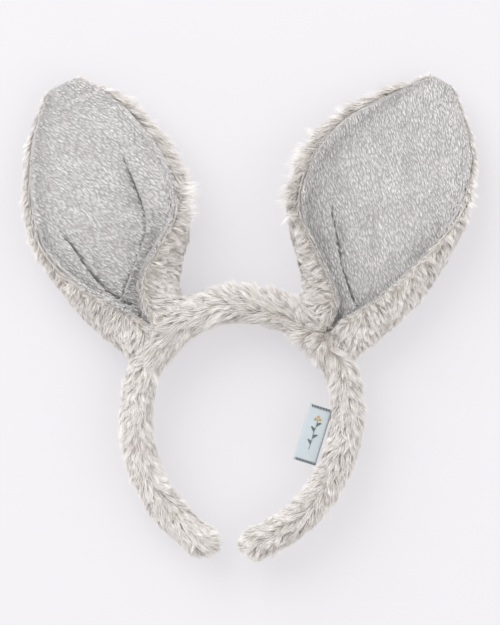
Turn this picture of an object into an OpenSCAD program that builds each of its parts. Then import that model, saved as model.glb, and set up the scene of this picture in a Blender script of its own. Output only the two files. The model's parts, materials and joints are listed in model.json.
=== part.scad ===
// Animal ears headband: a padded, fur-covered alice band with two cupped bunny ears and a folded label.
// Upright as worn: ring in the XZ plane, +Z towards the ear tips, -Y is the front, where the linings show.
// The origin is the centre of the band's top arc. Left is -X.

/* [Band] */
// Radius of the band's top arc, measured to the middle of the padding
band_r = 63.5; // [60:0.5:68]
// Radius of the left arm's curve
left_curve_r = 88; // [84:0.5:92]
// Radius of the right arm's curve
right_curve_r = 85.5; // [82:0.5:90]
// Direction of the left arm's curve where it leaves the crown, from the top
left_curve_from = 73; // [70:0.5:76]
// Direction of the right arm's curve where it leaves the crown, from the top
right_curve_from = 76; // [72:0.5:78]
// Direction of the left arm's curve at the middle of its tip, from the top
left_curve_to = 145; // [140:0.5:147]
// Direction of the right arm's curve at the middle of its tip, from the top
right_curve_to = 157; // [150:0.5:158]
// Radius of the fur sleeve's section
sleeve_r = 9.5; // [9:0.1:9.6]
// Radius of the padding's section
wadding_r = 6.5; // [5.5:0.1:7]
// Width of the moulded spring band
spring_w = 9; // [7:0.5:10]
// Thickness of the moulded spring band
spring_t = 2; // [1.5:0.1:2.2]
// Angle from the top at which each arm flexes
flex_at = 70; // [68:1:74]
// Clearance between parts that move on each other
gap = 0.3; // [0.25:0.05:0.4]

/* [Ears] */
// Angle from the top at which each ear is sewn on
ear_at = 46; // [44:1:48]
// Length of the ears, as a share of the standard pattern
ear_length = 1; // [0.9:0.01:1.1]
// Width of the ears, as a share of the standard pattern
ear_width = 1; // [0.9:0.01:1.05]
// Thickness of the fur fabric on the back of an ear, pile included
back_t = 3.6; // [3:0.1:4]
// Thickness of the short-pile lining
lining_t = 1.5; // [1:0.1:1.8]
// Thickness of the stiff interlining
stiffener_t = 1.2; // [1:0.1:1.4]
// Radius of the rim wire
wire_r = 0.5; // [0.4:0.05:0.5]

/* [Label] */
// Length of the label along the seam
label_l = 35.5; // [30:0.5:36]
// Width of the folded label, seam allowance included
label_w = 15; // [12:0.5:16]
// Thickness of one layer of the label's tape
label_t = 0.4; // [0.3:0.05:0.5]
// Space between the two layers
label_gap = 0.6; // [0.4:0.1:0.8]

/* [Hidden] */
$fn = 64;

fur_colour = [0.84, 0.82, 0.80];
lining_colour = [0.78, 0.77, 0.76];
wadding_colour = [0.95, 0.94, 0.92];
spring_colour = [0.92, 0.92, 0.94];
felt_colour = [0.90, 0.88, 0.85];
wire_colour = [0.65, 0.66, 0.68];
thread_colour = [0.72, 0.70, 0.68];
label_colour = [0.78, 0.82, 0.85];
label_thread_colour = [0.30, 0.31, 0.34];

sleeve_floor = 6;                  // the sleeve's flat side lies this far inside the arc
wadding_floor = 4;                 // the same for the padding and the spring
floor_r = 25;                      // slight convexity of that flat side
knuckle_r = sleeve_r + 1.5;        // the arm's round end in the flex joint
knuckle_turn = 14;                 // how far the arm's stock runs past the flex axis, in degrees
thread_r = 0.35;                   // sewing thread, doubled
label_thread_r = 0.25;
big = 60;

function polar(r, a) = [r * sin(a), r * cos(a)];         // X and Z at an angle from the top
function mix(a, b, t) = a + (b - a) * t;
function ease(t) = let (u = max(0, min(1, t))) u * u * (3 - 2 * u);

// ---------------------------------------------------------------- band sections (x outward, y along Y)

module d_section(r, flat) {
    intersection() {
        circle(r);
        translate([floor_r - flat, 0]) circle(floor_r);
    }
}

module spring_section(below = 0, slack = 0) {
    intersection() {
        d_section(wadding_r, wadding_floor + below);
        translate([-wadding_floor - 1, -spring_w / 2 - slack])
            square([spring_t + 1 + slack, spring_w + 2 * slack]);
    }
}

// ---------------------------------------------------------------- band sweeps

// Sweeps a section along an arc about Y; from and to count from the top, clockwise seen from the front.
module arc_run(r, from, to) {
    rotate([90, 0, 0]) rotate([0, 0, 90 - to])
        rotate_extrude(angle = to - from, $fn = 180) translate([r, 0]) children();
}

module knuckle(side, r) {
    h = polar(band_r, side * flex_at);
    translate([h[0], 0, h[1]]) rotate([90, 0, 0]) cylinder(r = r, h = big, center = true, $fn = 96);
}

module crown_run() {
    difference() {
        arc_run(band_r, -flex_at, flex_at) children();
        knuckle(-1, knuckle_r + gap);
        knuckle(1, knuckle_r + gap);
    }
}

function curve_r(side) = side < 0 ? left_curve_r : right_curve_r;
function curve_from(side) = side * (side < 0 ? left_curve_from : right_curve_from);
function curve_to(side) = side * (side < 0 ? left_curve_to : right_curve_to);
// Middle of an arm's curve, which passes through the flex axis.
function curve_middle(side) =
    polar(band_r, side * flex_at) - polar(curve_r(side), curve_from(side));

module arm_run(side) {
    middle = curve_middle(side);
    start = curve_from(side) - side * knuckle_turn;
    translate([middle[0], 0, middle[1]])
        arc_run(curve_r(side), min(start, curve_to(side)), max(start, curve_to(side))) children();
}

// Children stand at the middle of an arm's tip, with +Z outward from the curve and X along it.
module at_tip(side) {
    tip = curve_middle(side) + polar(curve_r(side), curve_to(side));
    translate([tip[0], 0, tip[1]]) rotate([0, curve_to(side), 0]) children();
}

// Trims an arm to its round end in the flex joint.
module arm_trim(side) {
    intersection() {
        children();
        union() {
            knuckle(side, knuckle_r);
            rotate([0, side * flex_at, 0])
                translate([side > 0 ? 0 : -4 * big, -big / 2, -5 * big])
                    cube([4 * big, big, 10 * big]);
        }
    }
}

// An arm of the band's section, closed by a slightly bulging round tip.
tip_bulge = 0.4;
module arm_shape(side, r, flat) {
    arm_run(side) d_section(r, flat);
    at_tip(side) intersection() {
        sphere(r + tip_bulge);
        translate([-big, -big, -flat - tip_bulge / 2]) cube([2 * big, 2 * big, big]);
    }
}

module spring_shape(side, below = 0, slack = 0) {
    arm_run(side) spring_section(below, slack);
    at_tip(side) translate([0, 0, -wadding_floor - 0.1 - below])
        cylinder(r = spring_w / 2 + 0.3 + slack, h = spring_t + 0.2 + below + slack, $fn = 64);
}

module crown_spring() color(spring_colour) crown_run() spring_section();

module crown_wadding() color(wadding_colour) crown_run() difference() {
    d_section(wadding_r, wadding_floor);
    spring_section(1, 0.05);
}

module crown_fur_sleeve() color(fur_colour) crown_run() difference() {
    d_section(sleeve_r, sleeve_floor);
    d_section(wadding_r, wadding_floor);
}

module arm_spring(side) color(spring_colour) arm_trim(side) spring_shape(side);

module arm_wadding(side) color(wadding_colour) arm_trim(side) difference() {
    arm_shape(side, wadding_r, wadding_floor);
    spring_shape(side, 1, 0.05);
}

module arm_fur_sleeve(side) color(fur_colour) arm_trim(side) difference() {
    arm_shape(side, sleeve_r, sleeve_floor);
    arm_shape(side, wadding_r, wadding_floor);
}

// A row of short threads along an arc, lying against the sleeve's inner side.
module thread_row(r, from, to, count) {
    step = (to - from) / count;
    for (i = [0 : count - 1])
        rotate([0, from + (i + 0.5) * step, 0])
            translate([0, 0, r - sleeve_floor - thread_r - 0.05]) rotate([0, 90, 0])
                cylinder(r = thread_r, h = 2.4, center = true, $fn = 16);
}

module crown_seam_stitches() color(thread_colour) thread_row(band_r, 12 - flex_at, flex_at - 12, 30);

// Both rows stop short of the round tip; the right arm's row leaves room for the label.
module arm_seam_stitches(side) {
    middle = curve_middle(side);
    from = side < 0 ? curve_from(side) - 9 : label_from + 29;
    to = curve_to(side) - 8 * side;
    color(thread_colour) translate([middle[0], 0, middle[1]])
        thread_row(curve_r(side), from, to, round(abs(to - from) / 2.3));
}

// ---------------------------------------------------------------- ear patterns
// Each list runs from the root to the tip in ten equal steps. Widths are from the ear's middle line to
// its visible side, curls are how far the side has turned forward at its edge, and the bend of each
// side begins and ends at a share of its flat width. "line" pulls the middle line, from its foot.

LEFT_EAR = [
    ["side", -1],
    ["line", [[-32, 31], [-31, 94], [-57, 149]]],
    ["outer", [19, 23, 28, 33.5, 38, 42, 42.5, 39.5, 34, 25, 9]],
    ["outer_curl", [180, 178, 168, 140, 108, 78, 58, 44, 34, 26, 20]],
    ["outer_begin", [0.30, 0.36, 0.42, 0.46, 0.48, 0.50, 0.50, 0.50, 0.50, 0.50, 0.50]],
    ["outer_end", [0.715, 0.76, 0.86, 0.95, 1, 1, 1, 1, 1, 1, 1]],
    ["inner", [19, 22, 29, 36, 41, 44.5, 46.5, 43, 34.5, 25, 8]],
    ["inner_curl", [180, 178, 172, 152, 118, 84, 62, 48, 38, 30, 22]],
    ["inner_begin", [0.30, 0.33, 0.36, 0.40, 0.42, 0.42, 0.44, 0.46, 0.48, 0.50, 0.50]],
    ["inner_end", [0.715, 0.71, 0.74, 0.84, 0.94, 1, 1, 1, 1, 1, 1]],
    ["depth", [4.7, 6.5, 8, 9, 9.2, 9, 8.5, 7.8, 7, 6, 4.5]]
];

RIGHT_EAR = [
    ["side", 1],
    ["line", [[32, 31], [34.5, 101], [67, 152]]],
    ["outer", [18.5, 22.5, 29, 34, 39, 42.5, 42.5, 41.5, 38, 28, 9]],
    ["outer_curl", [180, 178, 172, 164, 154, 136, 92, 62, 44, 32, 22]],
    ["outer_begin", [0.30, 0.34, 0.40, 0.46, 0.52, 0.56, 0.55, 0.52, 0.50, 0.50, 0.50]],
    ["outer_end", [0.715, 0.74, 0.82, 0.88, 0.92, 0.96, 1, 1, 1, 1, 1]],
    ["inner", [19, 25, 34.5, 43, 49.5, 53.5, 53.5, 48, 35.5, 18.5, 4]],
    ["inner_curl", [180, 174, 156, 134, 104, 78, 60, 48, 38, 30, 22]],
    ["inner_begin", [0.30, 0.35, 0.40, 0.42, 0.42, 0.42, 0.44, 0.46, 0.48, 0.50, 0.50]],
    ["inner_end", [0.715, 0.76, 0.86, 0.95, 1, 1, 1, 1, 1, 1, 1]],
    ["depth", [4.7, 6.5, 8, 9, 9.2, 9, 8.5, 7.8, 7, 6, 4.5]]
];

function pattern(ear, name) = [for (row = ear) if (row[0] == name) row[1]][0];

// Smooth curve through equally spaced values.
function along(v, t) =
    let (last = len(v) - 1, p = max(0, min(0.99999, t)) * last, i = floor(p), u = p - i,
         b = v[i], c = v[i + 1],
         a = i > 0 ? v[i - 1] : 2 * b - c,
         d = i + 2 <= last ? v[i + 2] : 2 * c - b)
    0.5 * (2 * b + (c - a) * u + (2 * a - 5 * b + 4 * c - d) * u * u
        + (3 * b - a - 3 * c + d) * u * u * u);

function bezier(p, t) =
    pow(1 - t, 3) * p[0] + 3 * t * pow(1 - t, 2) * p[1] + 3 * t * t * (1 - t) * p[2] + pow(t, 3) * p[3];
function bezier_slope(p, t) =
    3 * pow(1 - t, 2) * (p[1] - p[0]) + 6 * t * (1 - t) * (p[2] - p[1]) + 3 * t * t * (p[3] - p[2]);

root_gap_r = sleeve_r + 1;              // the ear's root rolls round the sleeve at this radius

// The ear's middle line: starts outward from the band, bends upward and leans out at the tip.
function ear_side(ear) = pattern(ear, "side");
function ear_line(ear) =
    let (foot = polar(band_r + root_gap_r, ear_side(ear) * ear_at))
    concat([foot], [for (p = pattern(ear, "line")) foot + p * ear_length]);

// One side of a cross-section, unscaled: points, and the angle turned at each.
half_steps = 11;
function turned(s, begin, end, curl) = curl * ease((s - begin) / (end - begin));
function half_curve(begin, end, curl) =
    let (ds = 1 / half_steps)
    [for (i = 0, x = 0, y = 0; i <= half_steps;
          a = turned((i + 0.5) * ds, begin, end, curl), x = x + cos(a) * ds, y = y - sin(a) * ds, i = i + 1)
        [x, y, turned(i * ds, begin, end, curl)]];

function half_section(ear, side, t) =
    let (begin = along(pattern(ear, str(side, "_begin")), t),
         end = along(pattern(ear, str(side, "_end")), t),
         curl = along(pattern(ear, str(side, "_curl")), t),
         width = along(pattern(ear, side), t) * ear_width,
         flat = half_curve(begin, end, curl),
         size = width / max([for (p = flat) p[0]]))
    [for (p = flat) [p[0] * size, p[1] * size, p[2]]];

// Points of the whole section, from -X to +X, pushed off along the surface by lift (back is positive).
function section(ear, t, lift) =
    let (right_name = ear_side(ear) < 0 ? "inner" : "outer",
         left_name = ear_side(ear) < 0 ? "outer" : "inner",
         r = half_section(ear, right_name, t),
         l = half_section(ear, left_name, t))
    concat(
        [for (i = [half_steps : -1 : 1])
            [-l[i][0] - lift * sin(l[i][2]), l[i][1] + lift * cos(l[i][2])]],
        [for (i = [0 : half_steps])
            [r[i][0] + lift * sin(r[i][2]), r[i][1] + lift * cos(r[i][2])]]);

// Places a section point in the part's frame; near the root its foot follows the sleeve's round back.
root_reach = 0.12;
function ear_point(ear, t, q) =
    let (line = ear_line(ear), side = ear_side(ear),
         c = bezier(line, t), d = bezier_slope(line, t), u = d / norm(d),
         depth = along(pattern(ear, "depth"), t),
         y = q[1] + depth,
         sag = sqrt(max(1, root_gap_r * root_gap_r - y * y)) - root_gap_r,
         foot = sag * pow(1 - min(1, t / root_reach), 2),
         out = polar(1, side * ear_at),
         p = c + q[0] * [u[1], -u[0]] + foot * out)
    [p[0], y, p[1]];

// A closed sheet between two grids of points.
module sheet(front, back) {
    rows = len(front);
    cols = len(front[0]);
    points = concat([for (row = front) each row], [for (row = back) each row]);
    function at(face, i, j) = face * rows * cols + i * cols + j;
    function quad(a, b, c, d) = [[a, b, c], [a, c, d]];
    faces = concat(
        [for (i = [0 : rows - 2], j = [0 : cols - 2])
            each quad(at(0, i, j), at(0, i, j + 1), at(0, i + 1, j + 1), at(0, i + 1, j))],
        [for (i = [0 : rows - 2], j = [0 : cols - 2])
            each quad(at(1, i, j), at(1, i + 1, j), at(1, i + 1, j + 1), at(1, i, j + 1))],
        [for (i = [0 : rows - 2])
            each quad(at(0, i, 0), at(0, i + 1, 0), at(1, i + 1, 0), at(1, i, 0))],
        [for (i = [0 : rows - 2])
            each quad(at(0, i, cols - 1), at(1, i, cols - 1),
                      at(1, i + 1, cols - 1), at(0, i + 1, cols - 1))],
        [for (j = [0 : cols - 2])
            each quad(at(0, 0, j), at(1, 0, j), at(1, 0, j + 1), at(0, 0, j + 1))],
        [for (j = [0 : cols - 2])
            each quad(at(0, rows - 1, j), at(0, rows - 1, j + 1),
                      at(1, rows - 1, j + 1), at(1, rows - 1, j))]);
    polyhedron(points, [for (f = faces) [f[2], f[1], f[0]]], convexity = 8);
}

// Every layer of an ear takes its points from the same rows and columns, so that the layers stay
// parallel; trim leaves out that many rows and columns at the foot and the sides, and one more at the top.
stations = 26;
function ear_grid(ear, lift) =
    [for (i = [0 : stations]) [for (q = section(ear, i / stations, lift)) ear_point(ear, i / stations, q)]];

module ear_layer(ear, low, high, trim = 0) {
    rows = [trim : stations - 2 * trim];
    cols = [trim : 2 * half_steps - trim];
    front = ear_grid(ear, low);
    back = ear_grid(ear, high);
    sheet([for (i = rows) [for (j = cols) front[i][j]]], [for (i = rows) [for (j = cols) back[i][j]]]);
}

ply_gap = 0.25;                         // air on each side of the interlining
half_stiff = stiffener_t / 2;
half_core = half_stiff + ply_gap;
module ear_fur_back(ear) color(fur_colour) ear_layer(ear, half_core, half_core + back_t);
module ear_stiffener(ear) color(felt_colour) ear_layer(ear, -half_stiff, half_stiff, 1);
module ear_lining(ear) color(lining_colour) ear_layer(ear, -half_core - lining_t, -half_core);

// ---------------------------------------------------------------- rim wire

wire_in = 0.42;                         // from the rim, as a share of the outermost column
wire_sides = 8;
function wire_path(ear) =
    let (g = ear_grid(ear, 0), top = stations - 1, last = 2 * half_steps)
    concat(
        [for (i = [1 : top]) mix(g[i][0], g[i][1], wire_in)],
        [for (j = [1 : last - 1]) g[top][j]],
        [for (i = [top : -1 : 1]) mix(g[i][last], g[i][last - 1], wire_in)]);

function unit(v) = v / norm(v);
// Carries a sideways vector along a path so that the tube doesn't twist.
function frames(path) =
    [for (i = 0, d = unit(path[1] - path[0]), n = unit(cross(d, [0, 1, 0.1])); i < len(path);
          i = i + 1,
          d = unit(path[min(i + 1, len(path) - 1)] - path[max(i - 1, 0)]),
          n = unit(n - d * (n * d)))
        [d, n]];

module tube(path, r, sides) {
    f = frames(path);
    points = [for (i = [0 : len(path) - 1], k = [0 : sides - 1])
        let (n = f[i][1], b = cross(f[i][0], n), a = 360 * k / sides)
        path[i] + r * (cos(a) * n + sin(a) * b)];
    last = (len(path) - 1) * sides;
    faces = concat(
        [for (i = [0 : len(path) - 2], k = [0 : sides - 1])
            let (a = i * sides + k, b = i * sides + (k + 1) % sides)
            each [[a, a + sides, b], [b, a + sides, b + sides]]],
        [[for (k = [0 : sides - 1]) k]],
        [[for (k = [sides - 1 : -1 : 0]) last + k]]);
    polyhedron(points, faces, convexity = 8);
}

module ear_wire(ear) color(wire_colour) tube(wire_path(ear), wire_r, wire_sides);

// ---------------------------------------------------------------- threads at the ear's root

module ear_root_stitches(ear) {
    g = ear_grid(ear, half_core + back_t + thread_r + 0.1);
    color(thread_colour)
        for (k = [1 : 2 * half_steps - 1]) {
            a = g[1][k];
            b = mix(g[1][k], g[2][k], 0.5);
            d = b - a;
            translate(a) rotate([0, acos(d[2] / norm(d)), atan2(d[1], d[0])])
                cylinder(r = thread_r, h = norm(d), $fn = 16);
        }
}

// ---------------------------------------------------------------- label

label_from = 90;                                   // where on the right arm's curve its seam begins
label_lean = 17.2;                                 // the seam leans in towards the tip, in degrees
label_clear = 1;                                   // from the flat side of the sleeve to the seam's hinge
label_top = curve_middle(1) + polar(curve_r(1) - sleeve_floor - label_clear, label_from);

// Inside: x is the way the label sticks out, y is Y, z runs down the seam.
module label_place() {
    translate([label_top[0], 0, label_top[1]]) rotate([0, 180 + label_lean, 0]) children();
}

module label_slab(t, from) {
    end = label_w - label_gap / 2 - label_t;
    translate([from, -t / 2]) square([end - from, t]);
    translate([end, 0]) circle(t / 2, $fn = 32);
}

module label_tape() color(label_colour) label_place()
    linear_extrude(height = label_l)
        difference() {
            label_slab(label_gap + 2 * label_t, 0.5);
            label_slab(label_gap, 0);
        }

label_half = label_gap / 2 + label_t;
module label_end_stitches() color(label_thread_colour) label_place()
    for (z = [0.9, label_l - 0.9], x = [1.2 : 1 : label_w - 1.5], face = [-1, 1])
        translate([x, face * (label_half + label_thread_r + 0.02), z]) rotate([0, 25 * face, 0])
            cylinder(r = label_thread_r, h = 1.6, center = true, $fn = 16);

module label_seam_stitches() color(thread_colour) label_place()
    for (z = [3.5 : 3 : label_l - 3], face = [-1, 1])
        translate([1.6, face * (label_half + label_thread_r + 0.02), z])
            cylinder(r = label_thread_r, h = 2, center = true, $fn = 16);

// ---------------------------------------------------------------- nodes

crown_spring();
crown_wadding();
crown_fur_sleeve();
crown_seam_stitches();
arm_spring(-1);  // left_arm_spring
arm_wadding(-1);  // left_arm_wadding
arm_fur_sleeve(-1);  // left_arm_fur_sleeve
arm_seam_stitches(-1);  // left_arm_seam_stitches
arm_spring(1);  // right_arm_spring
arm_wadding(1);  // right_arm_wadding
arm_fur_sleeve(1);  // right_arm_fur_sleeve
arm_seam_stitches(1);  // right_arm_seam_stitches
ear_fur_back(LEFT_EAR);  // left_ear_fur_back
ear_stiffener(LEFT_EAR);  // left_ear_stiffener
ear_wire(LEFT_EAR);  // left_ear_wire
ear_lining(LEFT_EAR);  // left_ear_lining
ear_root_stitches(LEFT_EAR);  // left_ear_root_stitches
ear_fur_back(RIGHT_EAR);  // right_ear_fur_back
ear_stiffener(RIGHT_EAR);  // right_ear_stiffener
ear_wire(RIGHT_EAR);  // right_ear_wire
ear_lining(RIGHT_EAR);  // right_ear_lining
ear_root_stitches(RIGHT_EAR);  // right_ear_root_stitches
label_tape();
label_end_stitches();
label_seam_stitches();
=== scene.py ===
# %% [markdown]
# # Animal ears headband
# A soft headband: a springy band inside a padded fur sleeve, and two plush-lined ears sewn to it.
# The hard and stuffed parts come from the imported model, which sets every size. This script dresses
# them: it makes the cloth, the pile of the fur, the plush and the label, and gives each a finish.

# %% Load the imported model
import json
import math
import bmesh
import bpy
import numpy as np
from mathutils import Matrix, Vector
from mathutils.bvhtree import BVHTree
from mathutils.kdtree import KDTree


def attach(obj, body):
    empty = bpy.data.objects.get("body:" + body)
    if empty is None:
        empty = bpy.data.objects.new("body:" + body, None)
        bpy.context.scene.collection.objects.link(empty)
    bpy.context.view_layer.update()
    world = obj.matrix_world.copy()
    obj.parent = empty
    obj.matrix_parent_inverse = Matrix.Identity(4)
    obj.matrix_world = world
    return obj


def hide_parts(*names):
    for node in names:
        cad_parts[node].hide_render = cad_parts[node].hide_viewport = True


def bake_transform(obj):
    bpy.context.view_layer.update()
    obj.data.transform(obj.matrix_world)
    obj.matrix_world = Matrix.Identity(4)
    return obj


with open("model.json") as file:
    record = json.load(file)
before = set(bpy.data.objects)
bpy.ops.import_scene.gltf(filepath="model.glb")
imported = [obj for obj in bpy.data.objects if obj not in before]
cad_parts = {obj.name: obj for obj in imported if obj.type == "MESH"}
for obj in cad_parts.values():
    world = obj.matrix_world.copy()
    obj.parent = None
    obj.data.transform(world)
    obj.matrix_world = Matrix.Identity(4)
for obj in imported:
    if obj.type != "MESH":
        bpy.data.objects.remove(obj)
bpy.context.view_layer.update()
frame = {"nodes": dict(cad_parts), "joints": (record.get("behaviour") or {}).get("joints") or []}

MM = 0.001
print("pieces in the packed model:", len(frame["nodes"]))

# %% [markdown]
# ## Writing a finish as sums
# A finish is a graph of nodes. Wiring it by hand is slow to read, so a small class wraps one socket:
# adding or multiplying two of them adds the Math node that does it. Anything else, such as a noise
# or a mix of two colours, comes from one method that takes the node's type, settings and sockets.

# %% A socket that sums can be written on


class Signal:
    def __init__(self, socket):
        self.socket = socket
        self.tree = socket.id_data

    def node(self, kind, settings=None, sockets=None, out=0):
        return add_node(self.tree, kind, settings, sockets, out)

    def maths(self, operation, first, second):
        return self.node("ShaderNodeMath", {"operation": operation}, {0: first, 1: second})

    def __add__(self, other):
        return self.maths("ADD", self, other)

    def __radd__(self, other):
        return self.maths("ADD", other, self)

    def __rsub__(self, other):
        return self.maths("SUBTRACT", other, self)

    def __mul__(self, other):
        return self.maths("MULTIPLY", self, other)

    def __rmul__(self, other):
        return self.maths("MULTIPLY", other, self)


def add_node(tree, kind, settings=None, sockets=None, out=0):
    made = tree.nodes.new(kind)
    for name, value in (settings or {}).items():
        setattr(made, name, value)
    for name, value in (sockets or {}).items():
        plug(tree, find_socket(made, name), value)
    return Signal(made.outputs[out]) if len(made.outputs) else None


def find_socket(made, name):
    if isinstance(name, int):
        return made.inputs[name]
    by_id = [s for s in made.inputs if s.identifier == name]
    return by_id[0] if by_id else made.inputs[name]


def plug(tree, socket, value):
    if isinstance(value, Signal):
        tree.links.new(value.socket, socket)
    else:
        socket.default_value = value


def mixed(factor, first, second):
    ends = {"Factor_Float": factor, "A_Color": first, "B_Color": second}
    return factor.node("ShaderNodeMix", {"data_type": "RGBA"}, ends, out=2)


def screen(red, green, blue):
    """A colour as picked on a screen (0 to 255), as the linear light that a shader takes."""
    levels = [c / 255 for c in (red, green, blue)]
    return tuple(c / 12.92 if c <= 0.04045 else ((c + 0.055) / 1.055) ** 2.4 for c in levels) + (1,)


print("mid grey as light:", round(screen(128, 128, 128)[0], 3))


# %% [markdown]
# ## Starting a finish
# Every finish here is one Principled shader. What is the same all over (sheen, specular level) is
# set on its own socket; what varies comes through a link.

# %% Start a finish


class Finish:
    def __init__(self, name, slot, **uniform):
        self.slot = slot
        self.material = bpy.data.materials.new(name)
        self.material.use_nodes = True
        self.tree = self.material.node_tree
        self.tree.nodes.clear()
        shader = add_node(self.tree, "ShaderNodeBsdfPrincipled")
        self.shader = shader.socket.node
        add_node(self.tree, "ShaderNodeOutputMaterial", None, {"Surface": shader})
        for socket, value in uniform.items():
            self.shader.inputs[socket.replace("_", " ")].default_value = value

    def node(self, kind, settings=None, sockets=None, out=0):
        return add_node(self.tree, kind, settings, sockets, out)

    def place(self):
        return self.node("ShaderNodeTexCoord", None, None, out=3)

    def noise(self, size_mm, detail=2.0, stretch=None):
        where = self.place()
        if stretch:
            where = self.node("ShaderNodeMapping", None, {"Vector": where, "Scale": stretch})
        sockets = {"Vector": where, "Scale": 1 / (size_mm * MM), "Detail": detail}
        return self.node("ShaderNodeTexNoise", None, sockets)

    def wave(self, size_mm, direction, twist=0.0):
        sockets = {"Vector": self.place(), "Scale": 0.314 / (size_mm * MM), "Distortion": twist}
        return self.node("ShaderNodeTexWave", {"bands_direction": direction}, sockets, out=1)

    def colour(self, value):
        plug(self.tree, self.shader.inputs["Base Color"], value)

    def rough(self, value):
        plug(self.tree, self.shader.inputs["Roughness"], value)

    def bumps(self, height, depth_mm, strength=1.0):
        sockets = {"Height": height, "Distance": depth_mm * MM, "Strength": strength}
        bump = self.node("ShaderNodeBump", None, sockets)
        plug(self.tree, self.shader.inputs["Normal"], bump)


print("channels a finish can fill: colour, roughness, relief")


# %% [markdown]
# ## The fur's finish
# Faux fur is a pile of acrylic fibres: pale at the tips, duller down in the shade near the cloth, and
# never quite the same from wisp to wisp; the duller roots are painted shade. Each fibre is a real ribbon
# of mesh here, and its UV map carries two facts about it: u says how light its wisp is, painted shade and
# light included, and v runs from root to tip. The lowest quarter of u is kept for fibres that stand in a
# crease, which are painted a dark crease colour: painted shade.

# %% Fur and nap
PAINTED_CREASE_SHADE_BELOW = 0.25


def pile_finish(name, slot, painted_crease_shade, deep, dull, pale):
    made = Finish(name, slot, Sheen_Weight=0.25, Sheen_Roughness=0.5, Specular_IOR_Level=0.2)
    uv = made.node("ShaderNodeUVMap", {"uv_map": "OFBake"})
    light = made.node("ShaderNodeSeparateXYZ", None, {0: uv}, out=0)
    along = made.node("ShaderNodeSeparateXYZ", None, {0: uv}, out=1)
    # Towards the root each fibre fades to the deep colour: painted shade down in the pile near the cloth.
    shade = made.node("ShaderNodeMapRange", {"interpolation_type": "SMOOTHSTEP"},
                      {"Value": along, "From Min": 0.05, "From Max": 0.75})
    lit = mixed(shade, screen(*deep), mixed(light, screen(*dull), screen(*pale)))
    # Fibres whose u lies below the crease threshold are painted the dark crease colour: painted shade in a
    # crease.
    clear_of_painted_crease_shade = made.node("ShaderNodeMapRange", None,
                         {"Value": light, "From Min": 0.0, "From Max": PAINTED_CREASE_SHADE_BELOW})
    made.colour(mixed(clear_of_painted_crease_shade, screen(*painted_crease_shade), lit))
    made.rough(0.85 - 0.2 * along)
    return made


# For each pile: its painted crease shade, its painted root shade, then its dull and pale wisp colours.
FUR = pile_finish("long_pile", "faux_fur", (172, 164, 157), (202, 196, 190), (214, 209, 204),
                  (250, 247, 244))
NAP = pile_finish("short_nap", "plush_lining", (112, 110, 109), (166, 163, 162), (200, 198, 197),
                  (238, 237, 236))
print("pile finishes:", FUR.material.name, NAP.material.name)

# %% [markdown]
# ## The cloths
# Under the pile is a knitted backing, and the ears are lined with a short plush. Both show only
# between the fibres, so they need the right shade, some unevenness and a fine relief. The knit's
# ribs are two crossed waves; the plush is two sizes of noise.

# %% Backing and plush
BACKING = Finish("knit_backing", "faux_fur", Sheen_Weight=0.2, Specular_IOR_Level=0.2)
ribs = BACKING.wave(0.9, "X") * BACKING.wave(0.9, "Z")
BACKING.colour(mixed(BACKING.noise(5), screen(196, 190, 184), screen(216, 211, 205)))
BACKING.rough(0.8 + 0.15 * ribs)
BACKING.bumps(ribs, 0.2)

PLUSH = Finish("plush_ground", "plush_lining", Sheen_Weight=0.35, Specular_IOR_Level=0.15)
tufts = PLUSH.noise(0.9, 3.0)
PLUSH.colour(mixed(PLUSH.noise(11) * 0.6 + tufts * 0.4, screen(164, 162, 160), screen(194, 192, 191)))
PLUSH.rough(0.8 + 0.15 * tufts)
PLUSH.bumps(tufts, 0.35)
print("cloth finishes:", BACKING.material.name, PLUSH.material.name)

# %% [markdown]
# ## The band's insides
# A moulded plastic spring, white wadding, felt interlining and steel wire. They are covered, but
# whoever takes the headband apart meets them, so each has its own finish: flow marks in the
# plastic, loose fibres in the wadding, pressed fibres in the felt, drawing lines along the wire.

# %% Plastic, wadding, felt and wire
PLASTIC = Finish("moulded_plastic", "spring_plastic", Specular_IOR_Level=0.5)
flow = PLASTIC.noise(6, 2.0)
PLASTIC.colour(mixed(flow, screen(228, 229, 233), screen(244, 245, 248)))
PLASTIC.rough(0.28 + 0.14 * flow)
PLASTIC.bumps(flow, 0.03)

WADDING = Finish("polyester_wadding", "wadding", Sheen_Weight=0.2)
fibres = WADDING.noise(0.7, 5.0)
WADDING.colour(mixed(fibres, screen(225, 222, 217), screen(250, 249, 246)))
WADDING.rough(0.85 + 0.1 * fibres)
WADDING.bumps(fibres, 0.4)

FELT = Finish("pressed_felt", "interlining", Specular_IOR_Level=0.2)
pressed = FELT.noise(0.5, 4.0)
FELT.colour(mixed(pressed, screen(216, 211, 202), screen(240, 237, 230)))
FELT.rough(0.85 + 0.1 * pressed)
FELT.bumps(pressed, 0.12)

WIRE = Finish("drawn_steel", "rim_wire", Metallic=1.0)
drawn = WIRE.noise(0.3, 3.0, stretch=(1, 1, 0.1))
WIRE.colour(mixed(drawn, screen(150, 152, 156), screen(196, 198, 202)))
WIRE.rough(0.28 + 0.2 * drawn)
print("inside finishes:", [made.material.name for made in (PLASTIC, WADDING, FELT, WIRE)])

# %% [markdown]
# ## Threads and satin
# A sewing thread is two or three plies twisted together, seen as a slanted ripple. The label is a
# woven satin tape: its floats run along it and give the soft shine.

# %% Thread and satin


def thread_finish(name, slot, dark, light):
    made = Finish(name, slot, Specular_IOR_Level=0.35)
    plies = made.wave(0.35, "DIAGONAL", 0.4)
    made.colour(mixed(plies, screen(*dark), screen(*light)))
    made.rough(0.6 + 0.2 * plies)
    made.bumps(plies, 0.08)
    return made


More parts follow.
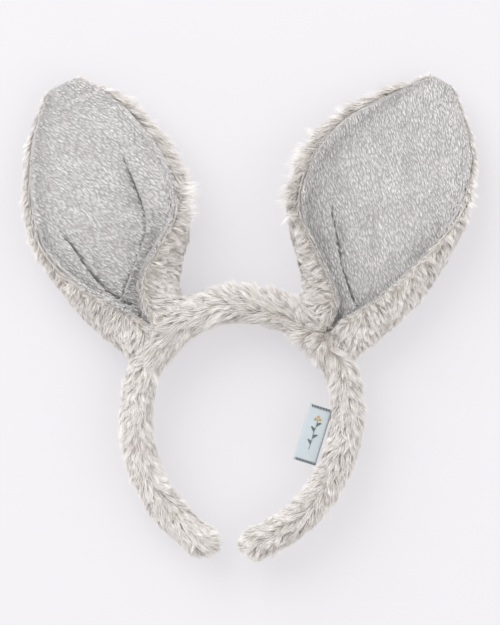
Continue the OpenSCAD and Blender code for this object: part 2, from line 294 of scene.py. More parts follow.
SEAM_THREAD = thread_finish("seam_thread", "seam_thread", (160, 155, 149), (196, 191, 186))
LABEL_THREAD = thread_finish("label_thread", "label_thread", (52, 54, 60), (96, 99, 106))
STEM_THREAD = thread_finish("stem_thread", "label_thread", (78, 88, 84), (118, 130, 122))
BERRY_THREAD = thread_finish("berry_thread", "label_thread", (172, 138, 74), (212, 180, 112))

SATIN = Finish("woven_satin", "label_satin", Sheen_Weight=0.15, Specular_IOR_Level=0.5)
floats = SATIN.wave(0.28, "Z", 0.3)
SATIN.colour(mixed(floats * 0.5 + SATIN.noise(3) * 0.5, screen(168, 178, 183), screen(190, 200, 204)))
SATIN.rough(0.34 + 0.14 * floats)
SATIN.bumps(floats, 0.04)
print("finishes:", len(bpy.data.materials))


def dress(piece, finish):
    piece.data.materials.clear()
    piece.data.materials.append(finish.material)
    return piece


# %% [markdown]
# ## Dress the pieces that stay
# The springs, wadding, interlining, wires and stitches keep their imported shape.

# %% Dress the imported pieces
KEPT = {"spring": PLASTIC, "wadding": WADDING, "stiffener": FELT, "wire": WIRE,
        "seam_stitches": SEAM_THREAD, "root_stitches": SEAM_THREAD, "end_stitches": LABEL_THREAD}
for name, node in frame["nodes"].items():
    for ending, finish in KEPT.items():
        if name.endswith(ending):
            dress(node, finish)
print("packed pieces that stay:", sum(name.endswith(tuple(KEPT)) for name in frame["nodes"]))

# %% [markdown]
# ## The band's skin
# The sleeve is one tube of fur cloth round the padded spring. Its skin is swept along the band's
# middle line: an arc over the head, then a gentler arc down each arm, closed by a round tip. The
# section is round outside and flatter inside, where it lies against the head. The same function
# gives the cloth's mesh and the place, slope and nap of every fibre, so the two can't disagree.

# %% Middle line of the band
BAND_R = 63.5
FLEX_AT = math.radians(70)
ARMS = {-1: (88.0, math.radians(73), math.radians(145)), 1: (85.5, math.radians(76), math.radians(157))}
SKIN_R = 8.2
SKIN_FLOOR = 5.2
CROWN_LENGTH = BAND_R * FLEX_AT


def polar(radius, angle):
    return np.stack([radius * np.sin(angle), radius * np.cos(angle)], -1)


def arm_length(side):
    radius, start, end = ARMS[side]
    return radius * (end - start)


def middle_line(side, s):
    """Points, headings and outward directions (X, Z) at lengths s from the top of the band."""
    radius, start, end = ARMS[side]
    over = np.clip(s / BAND_R, 0, FLEX_AT)
    down = start + np.clip(s - CROWN_LENGTH, 0, arm_length(side)) / radius
    hub = polar(BAND_R, side * FLEX_AT) - polar(radius, side * start)
    arm = s > CROWN_LENGTH
    turn = np.where(arm, down, over)
    point = np.where(arm[:, None], hub + polar(radius, side * down), polar(BAND_R, side * over))
    ease = np.clip((s - CROWN_LENGTH + 14) / 14, 0, 1)
    turn = np.where(arm, turn, turn + (start - FLEX_AT) * ease * ease)
    out = polar(1.0, side * turn)
    heading = side * np.stack([np.cos(side * turn), -np.sin(side * turn)], -1)
    return point, heading, out


def band_skin(side, s, phi, grow=0.0):
    """Points and normals of the skin; phi turns from the front (0) over the outer side."""
    length = CROWN_LENGTH + arm_length(side)
    radius = SKIN_R + grow
    past = np.clip((s - length) / radius, 0, 1)
    close = np.sqrt(np.maximum(0, 1 - past ** 2))
    point, heading, out = middle_line(side, np.minimum(s, length))
    reach = np.where(np.sin(phi) < 0, SKIN_FLOOR + grow, radius)
    a = reach * np.sin(phi) * close
    y = -radius * np.cos(phi) * close
    xz = point + out * a[:, None] + heading * (past * radius)[:, None]
    place = np.stack([xz[:, 0], y, xz[:, 1]], -1)
    n_out = np.sin(phi) / reach * radius * close
    n_y = -np.cos(phi) * close
    n_xz = out * n_out[:, None] + heading * past[:, None]
    normal = np.stack([n_xz[:, 0], n_y, n_xz[:, 1]], -1)
    return place * MM, unit(normal)


def unit(v):
    return v / np.maximum(np.linalg.norm(v, axis=-1, keepdims=True), 1e-9)


def across_plane(v, normal):
    """The part of v that lies along the cloth."""
    return unit(v - normal * np.sum(v * normal, -1, keepdims=True))


print("band from tip to tip, mm:", round(2 * CROWN_LENGTH + arm_length(-1) + arm_length(1)))

# %% [markdown]
# ## The band's cloth
# The real sleeve is cut as one strip, sewn along its inner side and turned out. Here it is rings of
# points swept down the band, one piece for each side, joined ring to ring with four-sided faces and
# closed at the tip. The two pieces meet at the band's top. The cloth meets itself at the band's
# top.

# %% Sew the band's cloth
RINGS = 120
AROUND = 36


def link(name, mesh):
    made = bpy.data.objects.new(name, mesh)
    bpy.context.scene.collection.objects.link(made)
    return made


def ring_faces(rings, around):
    faces = []
    for i in range(rings - 1):
        for k in range(around):
            a = i * around + k
            b = i * around + (k + 1) % around
            faces.append((a, b, b + around, a + around))
    return faces


def band_cloth(name, side):
    full = CROWN_LENGTH + arm_length(side)
    body = np.linspace(0, full, RINGS)
    tip = full + SKIN_R * np.sin(np.linspace(0.1, 1.5, 10))
    stops = np.concatenate([body, tip])
    phi = np.linspace(0, 2 * math.pi, AROUND, endpoint=False)
    s = np.repeat(stops, AROUND)
    points, normals = band_skin(side, s, np.tile(phi, len(stops)))
    folds = ripple(points, 0.009, 31) * 0.25 * MM * np.clip(s / 10, 0, 1)
    points = points + normals * folds[:, None]
    faces = ring_faces(len(stops), AROUND)
    faces.append([(len(stops) - 1) * AROUND + k for k in range(AROUND)])
    if side < 0:
        faces = [list(reversed(f)) for f in faces]
    mesh = bpy.data.meshes.new(name)
    mesh.from_pydata(points.tolist(), [], faces)
    mesh.shade_smooth()
    return dress(link(name, mesh), BACKING)


def ripple(points, size, seed):
    """Smooth unevenness from -1 to 1 with bumps about size metres long."""
    rng = np.random.default_rng(seed)
    total = np.zeros(len(points))
    for _ in range(6):
        heading = unit(rng.normal(size=3)) * 2 * math.pi / size * rng.uniform(0.6, 1.5)
        total += np.sin(points @ heading + rng.uniform(0, 2 * math.pi))
    return np.clip(total / 3, -1, 1)


def bend_with_arm(piece, side):
    arm = "left_arm" if side < 0 else "right_arm"
    (start,), _, _ = middle_line(side, np.array([CROWN_LENGTH - 12]))
    (end,), _, _ = middle_line(side, np.array([CROWN_LENGTH + 12]))
    start[0] * MM
    start[1] * MM
    end[0] * MM
    end[1] * MM
    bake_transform(piece)


left_cloth = band_cloth("left_band_cloth", -1)
right_cloth = band_cloth("right_band_cloth", 1)
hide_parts("left_arm_fur_sleeve", "crown_fur_sleeve")
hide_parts("right_arm_fur_sleeve")
for cloth, side in ((left_cloth, -1), (right_cloth, 1)):
    bend_with_arm(cloth, side)
print("band cloth faces:", len(left_cloth.data.polygons) + len(right_cloth.data.polygons))

# %% [markdown]
# ## Growing a pile
# Blender's own hair would be lost when the model is saved for other programs, so each fibre is a
# narrow ribbon of mesh: two quads and a pointed end. Fibres of a pile cling together: those near a
# wisp's middle lean towards it more and more towards their tips. That, and a slow drift in their
# direction, is what makes fur look like fur and not like grass. Combing makes each wisp longer than
# it is wide, which turns the dots of a nap into streaks.

# %% Grow ribbons of mesh
STEPS = np.array([0.0, 0.38, 0.72, 1.0])
WIDTHS = np.array([1.0, 0.9, 0.6, 0.0])
MEAN_LIGHT = 0.55
WISP_LIGHT = 0.30
PATCH_LIGHT = 0.16
FIBRE_LIGHT = 0.1
LIGHTEST = 0.98


def wisps(roots, share, seed, along, comb):
    """For each fibre, the index of the fibre at the middle of its wisp; combing draws wisps out."""
    rng = np.random.default_rng(seed)
    roots = roots - along * ((roots @ along) * comb)[:, None]
    middles = rng.choice(len(roots), max(2, int(len(roots) * share)), replace=False)
    tree = KDTree(len(middles))
    for i, m in enumerate(middles):
        tree.insert(roots[m], int(m))
    tree.balance()
    return np.array([tree.find(p)[1] for p in roots])


def grow(root, normal, lean, length, height, width, share, cling, seed, stray=0.5, painted_shade_and_tone=0.0, comb=0.0):
    """Corner points of a ribbon for each root, and how light each one is."""
    rng = np.random.default_rng(seed)
    count = len(root)
    side = np.cross(normal, lean)
    drift = ripple(root, 0.012, seed + 1) + ripple(root, 0.004, seed + 2) * 0.6
    lean = unit(lean + side * ((drift + rng.normal(size=count) * 0.5) * stray)[:, None])
    length = length * rng.uniform(0.65, 1.2, count)
    height = height * rng.uniform(0.7, 1.2, count)
    rise = np.sin(np.minimum(STEPS * 1.25, 1.0) * math.pi / 2) - 0.12 * STEPS ** 3
    points = (root[:, None, :] + lean[:, None, :] * (length[:, None] * STEPS)[:, :, None]
              + normal[:, None, :] * (height[:, None] * rise)[:, :, None])
    middle = wisps(root, share, seed + 3, unit(lean.mean(0)), comb)
    pull = (cling * rng.uniform(0.7, 1.1, count))[:, None] * STEPS ** 1.2
    points = points + (points[middle] - points) * np.clip(pull, 0, 0.97)[:, :, None]
    path = unit(points[:, -1] - points[:, 0])
    flat = unit(np.cross(path, normal))
    roll = rng.uniform(-0.9, 0.9, count)[:, None]
    flat = flat * np.cos(roll) + np.cross(flat, path) * np.sin(roll)
    half = flat[:, None, :] * (WIDTHS * width / 2)[None, :, None]
    verts = np.empty((count, 7, 3))
    verts[:, 0:6:2] = (points - half)[:, :3]
    verts[:, 1:6:2] = (points + half)[:, :3]
    verts[:, 6] = points[:, 3]
    wisp_light = rng.uniform(0, 1, count)[middle]
    light = MEAN_LIGHT + WISP_LIGHT * (wisp_light - 0.5) * 2 + PATCH_LIGHT * ripple(root, 0.02, seed + 4)
    light = np.clip(light + rng.normal(size=count) * FIBRE_LIGHT, PAINTED_CREASE_SHADE_BELOW, LIGHTEST)
    return verts, np.clip(light + painted_shade_and_tone, 1 - LIGHTEST, LIGHTEST)


def ribbons(name, finish, pile, part=slice(None)):
    verts, light = pile[0][part], pile[1][part]
    count = len(verts)
    mesh = bpy.data.meshes.new(name)
    mesh.vertices.add(count * 7)
    mesh.vertices.foreach_set("co", verts.astype(np.float32).ravel())
    order = np.array([0, 1, 3, 2, 2, 3, 5, 4, 4, 5, 6])
    mesh.loops.add(count * 11)
    corners = np.arange(count)[:, None] * 7 + order
    mesh.loops.foreach_set("vertex_index", corners.astype(np.int32).ravel())
    starts = np.arange(count)[:, None] * 11 + np.array([0, 4, 8])
    mesh.polygons.add(count * 3)
    mesh.polygons.foreach_set("loop_start", starts.astype(np.int32).ravel())
    mesh.update()
    mesh.shade_smooth()
    across = np.array([-1, 1, 1, -1, -1, 1, 1, -1, -1, 1, 0]) * 0.004
    along = STEPS[np.array([0, 0, 1, 1, 1, 1, 2, 2, 2, 2, 3])]
    uv = np.stack([light[:, None] + across, np.broadcast_to(along, (count, 11))], -1)
    mesh.uv_layers.new(name="OFBake").data.foreach_set("uv", uv.astype(np.float32).ravel())
    mesh.validate()
    return dress(link(name, mesh), finish)


print("places along a fibre:", STEPS.tolist())

# %% [markdown]
# ## Fur on the band
# The pile runs towards the left tip over the crown, and opens in a V on both sides of the front's
# middle. It turns to run down the right arm at a parting, which the root of the right ear hides. It
# is longest over the crown, where the ears push it up.

# %% Fur on the band
BAND_DENSITY = 4.0


def smooth_step(low, high, value):
    t = np.clip((value - low) / (high - low), 0, 1)
    return t * t * (3 - 2 * t)


def band_fur(name, side, seed):
    rng = np.random.default_rng(seed)
    length = CROWN_LENGTH + arm_length(side)
    girth = math.pi * (SKIN_R + (SKIN_R + SKIN_FLOOR) / 2)
    count = int(BAND_DENSITY * (length + SKIN_R) * girth)
    s = rng.uniform(0, length + SKIN_R * 0.98, count)
    phi = rng.uniform(0, 2 * math.pi, count)
    root, normal = band_skin(side, s, phi, -0.1)
    _, heading, _ = middle_line(side, np.minimum(s, length))
    run = np.stack([heading[:, 0], np.zeros(count), heading[:, 1]], -1)
    turn = np.cross(run, normal) * side
    turned = 1.0 if side < 0 else smooth_step(CROWN_LENGTH - 44, CROWN_LENGTH - 8, s) * 2 - 1
    opening = np.sin(phi) * np.exp(-(1 - np.cos(phi)) * 0.35)
    opening = np.sign(opening) * np.abs(opening) ** 0.5
    inward = 0.62 * opening * np.abs(turned) - (1 - np.abs(turned)) * 0.9
    lean = run * np.reshape(turned, (-1, 1)) - turn * np.reshape(inward, (-1, 1))
    lean = across_plane(lean, normal)
    crown = 1 - smooth_step(CROWN_LENGTH - 34, CROWN_LENGTH - 4, s)
    tall = (3.6 + 2.6 * crown * (0.6 + 0.4 * np.sin(phi))) * MM
    long = (9.5 + 2.5 * crown) * MM
    # The pile is coloured darker over the crown, and lighter on the left arm and darker on the right:
    # painted light and shade, as from the key light at the upper left.
    painted_shade_and_tone = -0.08 * crown - 0.04 * side
    pile = grow(root, normal, lean, long, tall, 0.21 * MM, 0.06, 0.82, seed + 5, painted_shade_and_tone=painted_shade_and_tone)
    fur = ribbons(name, FUR, pile)
    bend_with_arm(fur, side)
    return fur


left_fur = band_fur("left_band_fur", -1, 101)
right_fur = band_fur("right_band_fur", 1, 202)
print("band fibres:", (len(left_fur.data.polygons) + len(right_fur.data.polygons)) // 3)

# %% [markdown]
# ## The ears
# Each ear is two cloths sewn together at the rim over a stiff interlining: fur cloth behind, plush in
# front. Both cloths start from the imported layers, are welded and rounded, and keep their thickness.

# %% Ear cloths
EARS = {"left": -1, "right": 1}


def soft_copy(name, node, levels=1):
    mesh = bpy.data.meshes.new(name)
    bm = bmesh.new()
    bm.from_mesh(frame["nodes"][node].data)
    bmesh.ops.remove_doubles(bm, verts=bm.verts, dist=0.00002)
    bmesh.ops.join_triangles(bm, faces=bm.faces, angle_face_threshold=0.9, angle_shape_threshold=1.6)
    bmesh.ops.recalc_face_normals(bm, faces=bm.faces)
    bm.to_mesh(mesh)
    bm.free()
    made = link(name, mesh)
    rounding = made.modifiers.new("rounding", "SUBSURF")
    rounding.levels = levels
    done = bpy.data.meshes.new_from_object(made.evaluated_get(bpy.context.evaluated_depsgraph_get()))
    made.modifiers.clear()
    made.data = done
    done.shade_smooth()
    return made


def corners_of(mesh):
    mesh.calc_loop_triangles()
    points = np.empty(len(mesh.vertices) * 3)
    normals = np.empty(len(mesh.vertices) * 3)
    corners = np.empty(len(mesh.loop_triangles) * 3, np.int32)
    mesh.vertices.foreach_get("co", points)
    mesh.vertices.foreach_get("normal", normals)
    mesh.loop_triangles.foreach_get("vertices", corners)
    return points.reshape(-1, 3), normals.reshape(-1, 3), corners.reshape(-1, 3)


def depth_from(other, points):
    """Distance of each point from another piece's surface."""
    tree = surface_of(other)
    return np.array([tree.find_nearest(p)[3] for p in points])


def surface_of(piece):
    points, _, corners = corners_of(piece.data)
    return BVHTree.FromPolygons(points.tolist(), corners.tolist())


def scatter(mesh, keep, per_mm2, seed):
    """Random places on the kept triangles, with the cloth's smooth normal at each."""
    rng = np.random.default_rng(seed)
    points, normals, corners = corners_of(mesh)
    a, b, c = (points[corners[:, k]] for k in range(3))
    area = np.linalg.norm(np.cross(b - a, c - a), axis=1) / 2 * keep
    count = int(area.sum() * 1e6 * per_mm2)
    chosen = rng.choice(len(corners), count, p=area / area.sum())
    u, v = rng.uniform(size=(2, count, 1))
    flip = u + v > 1
    u = np.where(flip, 1 - u, u)
    v = np.where(flip, 1 - v, v)
    where = (corners[chosen], (1 - u - v, u, v))
    return between(where, points), unit(between(where, normals)), where


def between(where, values):
    """Values kept at a mesh's corners, read at places between three of them."""
    corners, weights = where
    return sum(w * values[corners[:, k]] for k, w in enumerate(weights))


def face_depths(mesh, other):
    points, _, corners = corners_of(mesh)
    return depth_from(other, points[corners].mean(1))


print("ears:", list(EARS))

# %% [markdown]
# ## Which way an ear's fur lies
# The pile runs from the tip down towards the band and out over the rims, where it shows from the
# front as a soft halo. The ear's own middle line gives both directions.

# %% Ear middle lines
EAR_AT = math.radians(46)
EAR_LINES = {-1: [(-32, 31), (-31, 94), (-57, 149)], 1: [(32, 31), (34.5, 101), (67, 152)]}


def ear_line(side):
    foot = polar(BAND_R + 10.5, side * EAR_AT)
    p = [foot] + [foot + np.array(q) for q in EAR_LINES[side]]
    t = np.linspace(0, 1, 60)[:, None]
    return ((1 - t) ** 3 * p[0] + 3 * t * (1 - t) ** 2 * p[1]
            + 3 * t * t * (1 - t) * p[2] + t ** 3 * p[3]) * MM


def ear_ways(side, points):
    """Share of the way up the ear, the upward direction and the direction away from the middle."""
    line = ear_line(side)
    up_all = unit(np.gradient(line, axis=0))
    flat = points[:, [0, 2]]
    nearest = np.argmin(((flat[:, None, :] - line[None]) ** 2).sum(-1), 1)
    up = up_all[nearest]
    away = flat - line[nearest]
    across = np.stack([up[:, 1], -up[:, 0]], -1)
    reach = np.sum(away * across, -1)
    out = across * np.clip(reach / 0.012, -1, 1)[:, None]
    lift = np.zeros(len(points))
    return nearest / 59, np.stack([up[:, 0], lift, up[:, 1]], -1), np.stack([out[:, 0], lift, out[:, 1]], -1)


for word, side in EARS.items():
    ear_steps = np.linalg.norm(np.diff(ear_line(side), axis=0), axis=1)
    print(word, "ear's middle line, mm:", round(ear_steps.sum() / MM))

# %% [markdown]
# ## The ears' backs
# The furry side of the cloth is pressed in, since its pile now stands on it, and its edge is drawn to
# the lining, where the two are sewn together. No pile grows on the side that faces the interlining.
# It is longest on the sides of the ears that face each other. The pile is kept as two pieces, lower
# and upper, so that neither grows too heavy to handle.

# %% Fur and cloth on the ears' backs
EAR_DENSITY = 3.6
RIM_FROM = 2.0 * MM
RIM_TO = 3.4 * MM


def ear_back(word, seed):
    side = EARS[word]
    body = word + "_ear"
    lining = frame["nodes"][body + "_lining"]
    cloth = soft_copy(body + "_back_cloth", body + "_fur_back")
    depths = face_depths(cloth.data, lining)
    past_core = face_depths(cloth.data, frame["nodes"][body + "_stiffener"]) > 1.2 * MM
    furry = (depths > 2.4 * MM) | (past_core & (depths > 0.4 * MM))
    place, normal, _ = scatter(cloth.data, furry, EAR_DENSITY, seed)
    share, up, out = ear_ways(side, place)
    tip = smooth_step(0.86, 1.0, share)[:, None]
    lean = across_plane(out * 0.75 - up * (0.75 - 0.65 * tip), normal)
    halo = smooth_step(0.25, 0.5, share) * (1 - smooth_step(0.86, 0.97, share))
    halo = halo * smooth_step(-0.1, 0.5, -out[:, 0] * side)
    long = (7.4 + 6.5 * halo - 2.2 * tip[:, 0]) * MM
    tall = (3.2 + 1.0 * halo - 1.0 * tip[:, 0]) * MM
    lean = across_plane(lean + out * (0.8 * halo)[:, None], normal)
    root = place - normal * (1.4 * MM)
    pile = grow(root, normal, lean, long, tall, 0.21 * MM, 0.06, 0.8, seed + 7, painted_shade_and_tone=-0.05)
    low = share < np.sort(share)[len(share) // 2]
    lower = ribbons(body + "_fur_lower", FUR, pile, low)
    upper = ribbons(body + "_fur_upper", FUR, pile, ~low)
    sink(cloth, 1.2 * MM, depths)
    close_rim(cloth, body, body + "_lining")
    dress(cloth, BACKING)
    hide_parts(body + "_fur_back")
    for piece in (cloth, lower, upper):
        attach(piece, body)
    print(body, "fibres, lower and upper:", len(lower.data.polygons) // 3, len(upper.data.polygons) // 3)


def sink(cloth, by, depths):
    """Press the furry side in, since the pile now stands on it."""
    points, normals, corners = corners_of(cloth.data)
    weight = np.zeros(len(points))
    seen = np.zeros(len(points))
    for k in range(3):
        np.add.at(weight, corners[:, k], smooth_step(1.8 * MM, 4 * MM, depths))
        np.add.at(seen, corners[:, k], 1)
    points = points - normals * (by * weight / np.maximum(seen, 1))[:, None]
    cloth.data.vertices.foreach_set("co", points.ravel())
    cloth.data.update()


def close_rim(cloth, body, other):
    """Draw a cloth's edge towards the other layer, where the two are sewn together."""
    points, _, _ = corners_of(cloth.data)
    inside = depth_from(frame["nodes"][body + "_stiffener"], points)
    tree = surface_of(frame["nodes"][other])
    towards = unit(np.array([tree.find_nearest(p)[0] for p in points]) - points)
    edge = smooth_step(RIM_FROM, RIM_TO, inside)
    points = points + towards * (0.8 * MM * edge)[:, None]
    cloth.data.vertices.foreach_set("co", points.ravel())
    cloth.data.update()


ear_back("left", 303)
ear_back("right", 404)

# %% [markdown]
# ## The plush lining
# The lining is cut a little full, so it puckers softly and laps over itself in a few folds near the
# root. A fold is a line with a roll on one side: the roll rises towards the front and slides over the
# line, so that it hangs over the floor beside it, which lies in shade.

# %% Folds of the lining
# Each fold is a line down the ear in X and Z (mm), the side its roll lies on, its rise and its width.
# Each dent is a line, a depth and a width. A roll slides by a share of its rise. Fibres lean to the
# right, so the shade reaches further out where they lean into the crease.
ROLL_SLIDES = 0.8
SHADE_REACH = {1: 4.2, -1: 2.9}
CREASE_SHADE = 0.75
VALLEY_SHADE = 0.2
ROLL_LIGHT = 0.1
DENT_SHADE = 0.08
FOLDS = {
    "left": [
        ([(-78, 167), (-70, 150), (-62, 136), (-57, 123), (-56.5, 111), (-60, 98), (-66, 85), (-71, 70)],
         1, 4.8, 9.0),
        ([(-117, 118), (-107, 101), (-99, 87), (-90, 76), (-79, 67), (-69, 63)], -1, 4.0, 7.5)],
    "right": [
        ([(53, 133), (54, 107), (56, 91), (60, 79), (65, 65)], -1, 5.0, 9.0)]}
DENTS = {
    "left": [([(-112, 140), (-98, 146), (-86, 138)], 0.5, 7.0),
             ([(-96, 95), (-84, 88), (-74, 90)], 0.4, 7.0)],
    "right": [([(82, 160), (95, 156), (105, 149), (113, 139)], 0.3, 8.0),
              ([(70, 130), (76, 112), (78, 95)], 0.4, 8.0)]}


def rounded(line):
    """The same line with its corners cut twice, so that a fold bends without kinks."""
    points = np.array(line, float)
    for _ in range(2):
        near = points[:-1] * 0.75 + points[1:] * 0.25
        far = points[:-1] * 0.25 + points[1:] * 0.75
        cut = np.stack([near, far], 1).reshape(-1, 2)
        points = np.concatenate([points[:1], cut, points[-1:]])
    return points


def along_line(line, flat):
    """Signed distance from a line, positive to its right going up, the share up it and its right."""
    line = rounded(line)
    best = np.full(len(flat), 1e9)
    signed = np.zeros(len(flat))
    share = np.zeros(len(flat))
    right = np.zeros((len(flat), 2))
    for k in range(len(line) - 1):
        low = np.array(line[k + 1], float)
        step = np.array(line[k], float) - low
        facing = np.array([step[1], -step[0]]) / np.linalg.norm(step)
        t = np.clip((flat - low) @ step / (step @ step), 0, 1)
        off = flat - low - t[:, None] * step
        gap = np.linalg.norm(off, axis=1)
        near = gap < best
        best = np.where(near, gap, best)
        signed = np.where(near, gap * np.sign(off @ facing), signed)
        share = np.where(near, (len(line) - 2 - k + t) / (len(line) - 1), share)
        right = np.where(near[:, None], facing, right)
    return signed, share, right


def fold_moves(word, points):
    """How far the cloth moves for its folds, and the painted shade and light of the nap there."""
    flat = points[:, [0, 2]] / MM
    move = np.zeros((len(points), 3))
    painted_shade_and_tone = np.zeros(len(points))
    for line, side, height, wide in FOLDS[word]:
        signed, share, right = along_line(line, flat)
        fade = 1 - smooth_step(0.6, 1.0, share)
        d = signed * side
        roll = smooth_step(-0.2, 1.2, d) * np.exp(-(np.maximum(d, 0) / wide) ** 2) * fade
        move[:, 1] -= height * roll - 0.4 * np.exp(-(d / 1.5) ** 2) * fade
        move[:, [0, 2]] -= right * (side * ROLL_SLIDES * height * roll)[:, None]
        reach = SHADE_REACH[side] * fade
        under = np.exp(-(np.minimum(d + reach, 0) / 0.9) ** 2) * (1 - smooth_step(0.2, 1.2, d))
        valley = np.exp(-(d / 10) ** 2) * (d < 0)
        # Painted shade on the nap under a roll's edge and down its valley, and painted light on the roll
        # itself.
        painted_shade_and_tone += ROLL_LIGHT * roll - CREASE_SHADE * under * np.sqrt(fade) - VALLEY_SHADE * valley * fade
    for line, depth, wide in DENTS[word]:
        signed, share, _ = along_line(line, flat)
        dip = np.exp(-(signed / wide) ** 2) * np.sin(math.pi * np.clip(share, 0.02, 0.98))
        move[:, 1] += depth * dip * np.exp(-np.maximum(signed, 0) / wide)
        # Painted shade on the nap in a dent.
        painted_shade_and_tone -= DENT_SHADE * dip
    return move * MM, painted_shade_and_tone


print("folds:", {word: len(folds) for word, folds in FOLDS.items()})

# %% [markdown]
# ## The nap
# A fine nap stands on the plush. It is the same kind of ribbon as the fur, only short, combed down the
# ear and to the right. Its painted shade is worked out before the cloth is folded, so that the floor of a
# crease is painted dark and the roll that hangs over it is painted light.

# %% Plush lining and its nap
NAP_DENSITY = 4.4


def ear_lining(word, seed):
    side = EARS[word]
    body = word + "_ear"
    cloth = soft_copy(body + "_plush", body + "_lining", 3)
    points, normals, _ = corners_of(cloth.data)
    depth = depth_from(frame["nodes"][body + "_stiffener"], points)
    front = smooth_step(0.8 * MM, 1.5 * MM, depth)
    pucker = ripple(points, 0.022, seed) * 0.8 + ripple(points, 0.009, seed + 1) * 0.35
    points = points + normals * (pucker * 0.45 * MM * front)[:, None]
    moves, painted_shade_and_tone = fold_moves(word, points)
    points = points + moves * front[:, None]
    cloth.data.vertices.foreach_set("co", points.ravel())
    cloth.data.update()
    close_rim(cloth, body, body + "_fur_back")
    depths = face_depths(cloth.data, frame["nodes"][body + "_stiffener"])
    place, normal, where = scatter(cloth.data, depths > 0.8 * MM, NAP_DENSITY, seed + 2)
    share, up, _ = ear_ways(side, place)
    across = np.stack([up[:, 2], np.zeros(len(up)), -up[:, 0]], -1)
    lean = across_plane(-up * 0.75 + across * 0.65, normal)
    # Each fibre takes the painted shade and light of the folds at its root.
    shade = between(where, painted_shade_and_tone[:, None])[:, 0]
    pile = grow(place - normal * 0.2 * MM, normal, lean, 3.2 * MM, 0.9 * MM, 0.26 * MM, 0.09, 0.8,
                seed + 3, 0.12, shade, 0.66)
    low = share < np.sort(share)[len(share) // 2]
    lower = ribbons(body + "_nap_lower", NAP, pile, low)
    upper = ribbons(body + "_nap_upper", NAP, pile, ~low)
    dress(cloth, PLUSH)
    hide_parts(body + "_lining")
    for piece in (cloth, lower, upper):
        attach(piece, body)
    print(body, "nap, lower and upper:", len(lower.data.polygons) // 3, len(upper.data.polygons) // 3)


ear_lining("left", 505)
ear_lining("right", 606)

# %% [markdown]
# ## The label
# A satin tape folded double, its cut ends bound with dark thread and its open edge caught in the
# sleeve's seam. It is swept as one strip round the fold, with a slight wave, since a tape that is
# held only along one edge never lies dead flat. A small sprig is embroidered on its front.

# %% Label tape
LABEL_LONG = 35.5
LABEL_DEEP = 15.0
LABEL_PLY = 0.4
LABEL_GAP = 0.6
label_joint = next(j for j in frame["joints"] if j["name"] == "label_flap")
LABEL_TOP = np.array(label_joint["pos_m"])
LABEL_DOWN = -np.array(label_joint["axis"])
LABEL_IN = np.array([LABEL_DOWN[2], 0, -LABEL_DOWN[0]])


def label_point(deep, y, long):
    wave = 0.12 * math.sin(long * 0.22) * (deep / LABEL_DEEP) ** 2
    place = LABEL_TOP + (LABEL_IN * deep + LABEL_DOWN * long) * MM
    return Vector(place) + Vector((0, (y + wave) * MM, 0))


def label_outline():
    """Points across the folded tape: down one ply, round the fold, back up the other."""
    half = (LABEL_GAP + LABEL_PLY) / 2
    fold = LABEL_DEEP - half - LABEL_PLY / 2
    front = [(d, -half) for d in np.linspace(0.6, fold, 12)]
    bend = [(fold + half * math.sin(a), -half * math.cos(a)) for a in np.linspace(0.4, math.pi - 0.4, 6)]
    return front + bend + [(d, half) for d, _ in reversed(front)]


def label_tape():
    line = label_outline()
    rows = np.linspace(0, LABEL_LONG, 30)
    inner = offset_line(line, -LABEL_PLY / 2)
    outer = offset_line(line, LABEL_PLY / 2)
    around = inner + outer[::-1]
    verts = [label_point(d, y, r) for r in rows for d, y in around]
    count = len(around)
    faces = ring_faces(len(rows), count)
    for end in (0, (len(rows) - 1) * count):
        for k in range(len(line) - 1):
            quad = (end + k, end + k + 1, end + count - 2 - k, end + count - 1 - k)
            faces.append(quad)
    mesh = bpy.data.meshes.new("label_satin")
    mesh.from_pydata(verts, [], faces)
    bm = bmesh.new()
    bm.from_mesh(mesh)
    bmesh.ops.recalc_face_normals(bm, faces=bm.faces)
    bm.to_mesh(mesh)
    bm.free()
    mesh.shade_smooth()
    return dress(link("label_satin", mesh), SATIN)


def offset_line(line, by):
    moved = []
    for i in range(len(line)):
        a = np.array(line[max(i - 1, 0)])
        b = np.array(line[min(i + 1, len(line) - 1)])
        d = (b - a) / np.linalg.norm(b - a)
        moved.append((line[i][0] + d[1] * by, line[i][1] - d[0] * by))
    return moved


satin = label_tape()
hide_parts("label_tape")
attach(satin, "label")
print("label before folding, mm:", 2 * LABEL_DEEP, "by", LABEL_LONG)

# %% [markdown]
# ## The embroidery
# A sprig of three kinds of stitch: one long thread for the stem, close slanted threads for each leaf,
# and short parallel ones for each berry. Each thread is a curve with a round section, turned into
# mesh, that lies half sunk in the satin.

# %% Embroidered sprig
SPRIG_STEM = [(7.6, 27), (7.2, 22), (7.8, 17), (7.1, 12), (7.6, 8)]
SPRIG_LEAVES = [(7.3, 24, 1), (7.4, 20, -1), (7.6, 16, 1), (7.3, 12.5, -1)]
SPRIG_BERRIES = [(7.7, 6.6), (9.0, 8.4), (6.2, 8.0)]
THREAD_R = 0.16


def stitch(path, radius, finish, name):
    curve = bpy.data.curves.new(name, "CURVE")
    curve.dimensions = "3D"
    curve.bevel_depth = radius * MM
    curve.bevel_resolution = 2
    curve.use_fill_caps = True
    for points in path:
        spline = curve.splines.new("NURBS")
        spline.points.add(len(points) - 1)
        for target, (deep, long, lift) in zip(spline.points, points):
            front = -(LABEL_GAP / 2 + LABEL_PLY) - radius * 0.6 - lift
            target.co = (*label_point(deep, front, long), 1)
        spline.order_u = 3
        spline.use_endpoint_u = True
    drawn_curve = link(name, curve)
    mesh = bpy.data.meshes.new_from_object(drawn_curve)
    bpy.data.objects.remove(drawn_curve)
    mesh.shade_smooth()
    made = dress(link(name, mesh), finish)
    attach(made, "label")
    return made


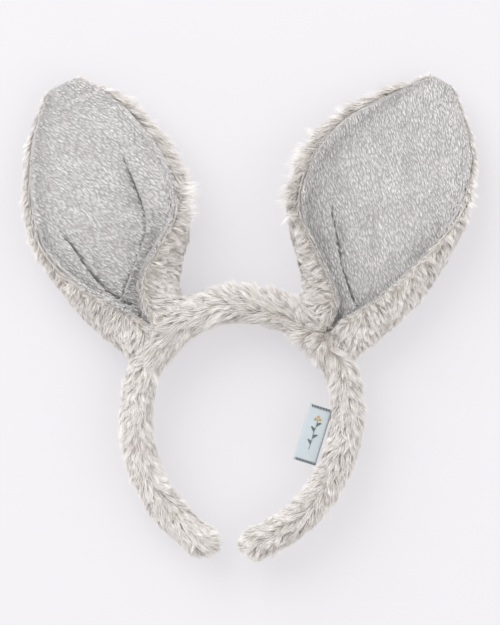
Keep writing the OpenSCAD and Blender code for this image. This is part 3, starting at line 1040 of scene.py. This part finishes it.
def leaf(deep, long, side):
    """A leaf of satin stitch: close threads that slant off the stem."""
    rows = []
    for k in range(7):
        share = k / 6
        reach = 2.6 * math.sin(math.pi * (0.15 + 0.75 * share))
        start = (deep, long - share * 1.9, 0)
        end = (deep + side * reach, long - share * 1.9 - reach * 0.7, 0)
        rows.append([start, ((start[0] + end[0]) / 2, (start[1] + end[1]) / 2, 0.08), end])
    return rows


def berry(deep, long):
    return [[(deep - 0.7, long + o, 0), (deep, long + o, 0.12), (deep + 0.7, long + o, 0)]
            for o in (-0.6, -0.3, 0.0, 0.3, 0.6)]


stitch([[(d, l, 0) for d, l in SPRIG_STEM]], THREAD_R, STEM_THREAD, "sprig_stem")
stitch([row for at in SPRIG_LEAVES for row in leaf(*at)], THREAD_R, STEM_THREAD, "sprig_leaves")
stitch([row for at in SPRIG_BERRIES for row in berry(*at)], THREAD_R, BERRY_THREAD, "sprig_berries")
print("leaves and berries on the sprig:", len(SPRIG_LEAVES), len(SPRIG_BERRIES))

# %% [markdown]
# ## The studio
# The headband lies on its back on a pale sheet, seen from straight above, so the sheet stands behind
# it, across the model's depth. The sheet is see-through from behind, so that the back can be looked
# at too, and it glows a little, as a lit table does, which keeps it evenly pale. One broad soft light
# at the upper left models the fur, a weaker one fills the right, and a third lights the back.

# %% Sheet, lights and camera
SHEET_Y = 0.0220
SHEET_HALF = 3.0
SHEET_GLOW = 0.56


def pale_sheet():
    made = Finish("pale_sheet", None, Roughness=0.9, Specular_IOR_Level=0.1,
                  Emission_Color=screen(240, 238, 241), Emission_Strength=SHEET_GLOW)
    grain = made.noise(30, 2.0)
    made.colour(mixed(grain, screen(146, 145, 147), screen(148, 147, 149)))
    behind = made.node("ShaderNodeNewGeometry", None, None, out=6)
    clear = made.node("ShaderNodeBsdfTransparent")
    both = {0: behind, 1: Signal(made.shader.outputs[0]), 2: clear}
    surface = made.tree.nodes["Material Output"].inputs[0]
    plug(made.tree, surface, made.node("ShaderNodeMixShader", None, both))
    mesh = bpy.data.meshes.new("backdrop")
    corners = [(x * SHEET_HALF, SHEET_Y, z * SHEET_HALF) for x, z in ((-1, -1), (1, -1), (1, 1), (-1, 1))]
    mesh.from_pydata(corners, [], [(0, 1, 2, 3)])
    sheet = link("backdrop", mesh)
    mesh.materials.append(made.material)
    sheet.visible_shadow = False


def soft_light(name, place, size, power, aim=(0, 0, 0.06)):
    light = bpy.data.lights.new(name, "AREA")
    light.shape = "DISK"
    light.size = size
    light.energy = power
    lamp = link(name, light)
    lamp.location = place
    lamp.rotation_euler = (Vector(aim) - Vector(place)).to_track_quat("-Z", "Y").to_euler()


def studio_air(strength):
    world = bpy.data.worlds.new("studio")
    world.use_nodes = True
    world.node_tree.nodes["Background"].inputs[0].default_value = (1.0, 0.99, 1.0, 1)
    world.node_tree.nodes["Background"].inputs[1].default_value = strength
    bpy.context.scene.world = world


pale_sheet()
soft_light("key", (-1.8, -2.2, 2.3), 3.6, 105)
soft_light("fill", (2.2, -2.6, -0.4), 3.0, 24)
soft_light("back", (0.5, 1.6, 0.9), 1.3, 12)
studio_air(0.95)

camera_data = bpy.data.cameras.new("camera")
camera_data.lens = 170.1
camera = link("camera", camera_data)
camera.location = (0.0043, -1.8, 0.0607)
camera.rotation_euler = (math.pi / 2, 0, 0)
bpy.context.scene.camera = camera
bpy.context.scene.view_settings.view_transform = "Standard"
print("camera at", [round(c, 4) for c in camera.location], "lens", round(camera_data.lens, 1))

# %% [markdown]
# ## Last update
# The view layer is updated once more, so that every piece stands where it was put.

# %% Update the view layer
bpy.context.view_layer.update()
